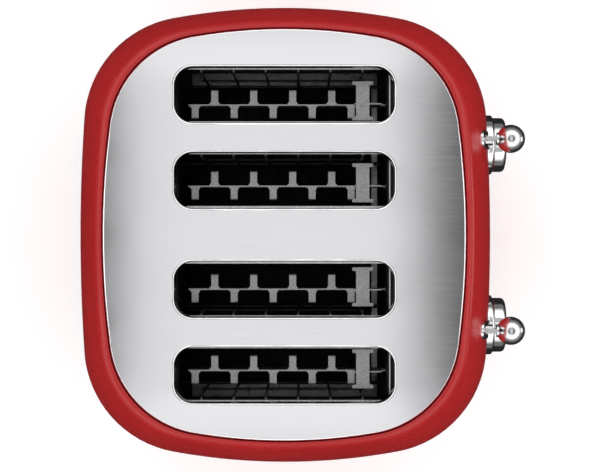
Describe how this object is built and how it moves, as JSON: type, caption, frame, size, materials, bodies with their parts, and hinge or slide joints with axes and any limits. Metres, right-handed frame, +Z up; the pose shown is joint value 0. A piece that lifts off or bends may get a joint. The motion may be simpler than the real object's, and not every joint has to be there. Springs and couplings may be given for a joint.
{
  "type": "pop up toaster",
  "caption": "Pop-up toaster with a bulged enamelled body, domed metal top, ball-ended levers, dials, push buttons, wire bread guards and slide-out crumb trays.",
  "frame": {"origin": "on the worktop, in the middle of the footprint, levers and tray pulls included", "axes": "+Z up; +Y from the lever side to the rear; +X to the right of someone facing the levers"},
  "size_m": [0.3192, 0.31, 0.2084],
  "materials": {
    "red_enamel": "gloss enamel",
    "brushed_steel": "satin",
    "chrome_trim": "polished",
    "plated_steel": "zinc plated",
    "galvanised_steel": "spangled zinc",
    "rubber": "matt",
    "black_plastic": "fine grain",
    "mica": "laminated mica, matt",
    "heater_alloy": "oxidised",
    "soft_iron": "ground",
    "copper_winding": "enamelled wire",
    "circuit_board": "solder mask",
    "spring_wire": "drawn wire"
  },
  "bodies": {
    "casing": {"body_shell": "red_enamel", "top_plate": "brushed_steel", "base_skirt": "chrome_trim", "base_plate": "plated_steel", "rubber_feet": "rubber", "lever_bezels": "chrome_trim", "dial_rings": "chrome_trim", "button_bezels": "chrome_trim", "side_studs": "chrome_trim", "cable_gland": "black_plastic", "cord_cleats": "black_plastic", "base_screws": "plated_steel", "chassis_front": "galvanised_steel", "chassis_rear": "galvanised_steel", "heat_shields": "galvanised_steel", "chamber_top": "galvanised_steel", "heater_cards": "mica", "heater_ribbons": "heater_alloy", "guide_rods": "plated_steel", "magnet_cores": "soft_iron", "magnet_coils": "copper_winding", "control_boards": "circuit_board", "dial_pots": "black_plastic", "tray_rails": "galvanised_steel", "lift_spring_left": "spring_wire", "lift_spring_right": "spring_wire"},
    "lever_left": {"lever_ball_left": "chrome_trim", "lever_arm_left": "plated_steel", "carriage_left": "plated_steel", "armature_left": "soft_iron", "bread_lifter_left_inner": "galvanised_steel", "bread_lifter_left_outer": "galvanised_steel", "spreaders_left": "galvanised_steel"},
    "dial_left": {"dial_knob_left": "chrome_trim", "dial_shaft_left": "plated_steel"},
    "tray_left": {"crumb_tray_left": "galvanised_steel"},
    "guard_left_inner_right": {"guard_left_inner_right": "spring_wire"},
    "guard_left_inner_left": {"guard_left_inner_left": "spring_wire"},
    "guard_left_outer_right": {"guard_left_outer_right": "spring_wire"},
    "guard_left_outer_left": {"guard_left_outer_left": "spring_wire"},
    "button_left_1": {"button_left_1": "chrome_trim"},
    "button_left_2": {"button_left_2": "chrome_trim"},
    "button_left_3": {"button_left_3": "chrome_trim"},
    "lever_right": {"lever_ball_right": "chrome_trim", "lever_arm_right": "plated_steel", "carriage_right": "plated_steel", "armature_right": "soft_iron", "bread_lifter_right_inner": "galvanised_steel", "bread_lifter_right_outer": "galvanised_steel", "spreaders_right": "galvanised_steel"},
    "dial_right": {"dial_knob_right": "chrome_trim", "dial_shaft_right": "plated_steel"},
    "tray_right": {"crumb_tray_right": "galvanised_steel"},
    "guard_right_inner_right": {"guard_right_inner_right": "spring_wire"},
    "guard_right_inner_left": {"guard_right_inner_left": "spring_wire"},
    "guard_right_outer_right": {"guard_right_outer_right": "spring_wire"},
    "guard_right_outer_left": {"guard_right_outer_left": "spring_wire"},
    "button_right_1": {"button_right_1": "chrome_trim"},
    "button_right_2": {"button_right_2": "chrome_trim"},
    "button_right_3": {"button_right_3": "chrome_trim"}
  },
  "joints": [
    {"name": "lever_left_slide", "type": "slide", "parent": "casing", "child": "lever_left", "axis": [0, 0, 1], "range_m": [-0.06, 0], "stiffness_N_per_m": 200, "springref_m": 0.04, "deforming": ["lift_spring_left"]},
    {"name": "dial_left_turn", "type": "hinge", "parent": "casing", "child": "dial_left", "pos_m": [-0.0658, -0.1427, 0.07], "axis": [0, 1, 0], "range_deg": [-76, 194]},
    {"name": "tray_left_slide", "type": "slide", "parent": "casing", "child": "tray_left", "axis": [0, 1, 0], "range_m": [0, 0.2]},
    {"name": "guard_left_inner_right_tilt", "type": "hinge", "parent": "casing", "child": "guard_left_inner_right", "pos_m": [-0.019, 0.0095, 0.072], "axis": [0, 1, 0], "range_deg": [-3.8, 0]},
    {"name": "guard_left_inner_left_tilt", "type": "hinge", "parent": "casing", "child": "guard_left_inner_left", "pos_m": [-0.052, 0.0095, 0.072], "axis": [0, 1, 0], "range_deg": [0, 3.8]},
    {"name": "guard_left_outer_right_tilt", "type": "hinge", "parent": "casing", "child": "guard_left_outer_right", "pos_m": [-0.075, 0.0095, 0.072], "axis": [0, 1, 0], "range_deg": [-3.8, 0]},
    {"name": "guard_left_outer_left_tilt", "type": "hinge", "parent": "casing", "child": "guard_left_outer_left", "pos_m": [-0.108, 0.0095, 0.072], "axis": [0, 1, 0], "range_deg": [0, 3.8]},
    {"name": "button_left_1_press", "type": "slide", "parent": "casing", "child": "button_left_1", "axis": [0, 1, 0], "range_m": [0, 0.0025], "stiffness_N_per_m": 300, "springref_m": -0.003},
    {"name": "button_left_2_press", "type": "slide", "parent": "casing", "child": "button_left_2", "axis": [0, 1, 0], "range_m": [0, 0.0025], "stiffness_N_per_m": 300, "springref_m": -0.003},
    {"name": "button_left_3_press", "type": "slide", "parent": "casing", "child": "button_left_3", "axis": [0, 1, 0], "range_m": [0, 0.0025], "stiffness_N_per_m": 300, "springref_m": -0.003},
    {"name": "lever_right_slide", "type": "slide", "parent": "casing", "child": "lever_right", "axis": [0, 0, 1], "range_m": [-0.06, 0], "stiffness_N_per_m": 200, "springref_m": 0.04, "deforming": ["lift_spring_right"]},
    {"name": "dial_right_turn", "type": "hinge", "parent": "casing", "child": "dial_right", "pos_m": [0.0658, -0.1427, 0.07], "axis": [0, 1, 0], "range_deg": [-76, 194]},
    {"name": "tray_right_slide", "type": "slide", "parent": "casing", "child": "tray_right", "axis": [0, 1, 0], "range_m": [0, 0.2]},
    {"name": "guard_right_inner_right_tilt", "type": "hinge", "parent": "casing", "child": "guard_right_inner_right", "pos_m": [0.052, 0.0095, 0.072], "axis": [0, 1, 0], "range_deg": [-3.8, 0]},
    {"name": "guard_right_inner_left_tilt", "type": "hinge", "parent": "casing", "child": "guard_right_inner_left", "pos_m": [0.019, 0.0095, 0.072], "axis": [0, 1, 0], "range_deg": [0, 3.8]},
    {"name": "guard_right_outer_right_tilt", "type": "hinge", "parent": "casing", "child": "guard_right_outer_right", "pos_m": [0.108, 0.0095, 0.072], "axis": [0, 1, 0], "range_deg": [-3.8, 0]},
    {"name": "guard_right_outer_left_tilt", "type": "hinge", "parent": "casing", "child": "guard_right_outer_left", "pos_m": [0.075, 0.0095, 0.072], "axis": [0, 1, 0], "range_deg": [0, 3.8]},
    {"name": "button_right_1_press", "type": "slide", "parent": "casing", "child": "button_right_1", "axis": [0, 1, 0], "range_m": [0, 0.0025], "stiffness_N_per_m": 300, "springref_m": -0.003},
    {"name": "button_right_2_press", "type": "slide", "parent": "casing", "child": "button_right_2", "axis": [0, 1, 0], "range_m": [0, 0.0025], "stiffness_N_per_m": 300, "springref_m": -0.003},
    {"name": "button_right_3_press", "type": "slide", "parent": "casing", "child": "button_right_3", "axis": [0, 1, 0], "range_m": [0, 0.0025], "stiffness_N_per_m": 300, "springref_m": -0.003}
  ],
  "couplings": [
    {"joint": "guard_left_inner_right_tilt", "follows": "lever_left_slide", "rad_per_m": 1.1},
    {"joint": "guard_left_inner_left_tilt", "follows": "lever_left_slide", "rad_per_m": -1.1},
    {"joint": "guard_left_outer_right_tilt", "follows": "lever_left_slide", "rad_per_m": 1.1},
    {"joint": "guard_left_outer_left_tilt", "follows": "lever_left_slide", "rad_per_m": -1.1},
    {"joint": "guard_right_inner_right_tilt", "follows": "lever_right_slide", "rad_per_m": 1.1},
    {"joint": "guard_right_inner_left_tilt", "follows": "lever_right_slide", "rad_per_m": -1.1},
    {"joint": "guard_right_outer_right_tilt", "follows": "lever_right_slide", "rad_per_m": 1.1},
    {"joint": "guard_right_outer_left_tilt", "follows": "lever_right_slide", "rad_per_m": -1.1}
  ]
}
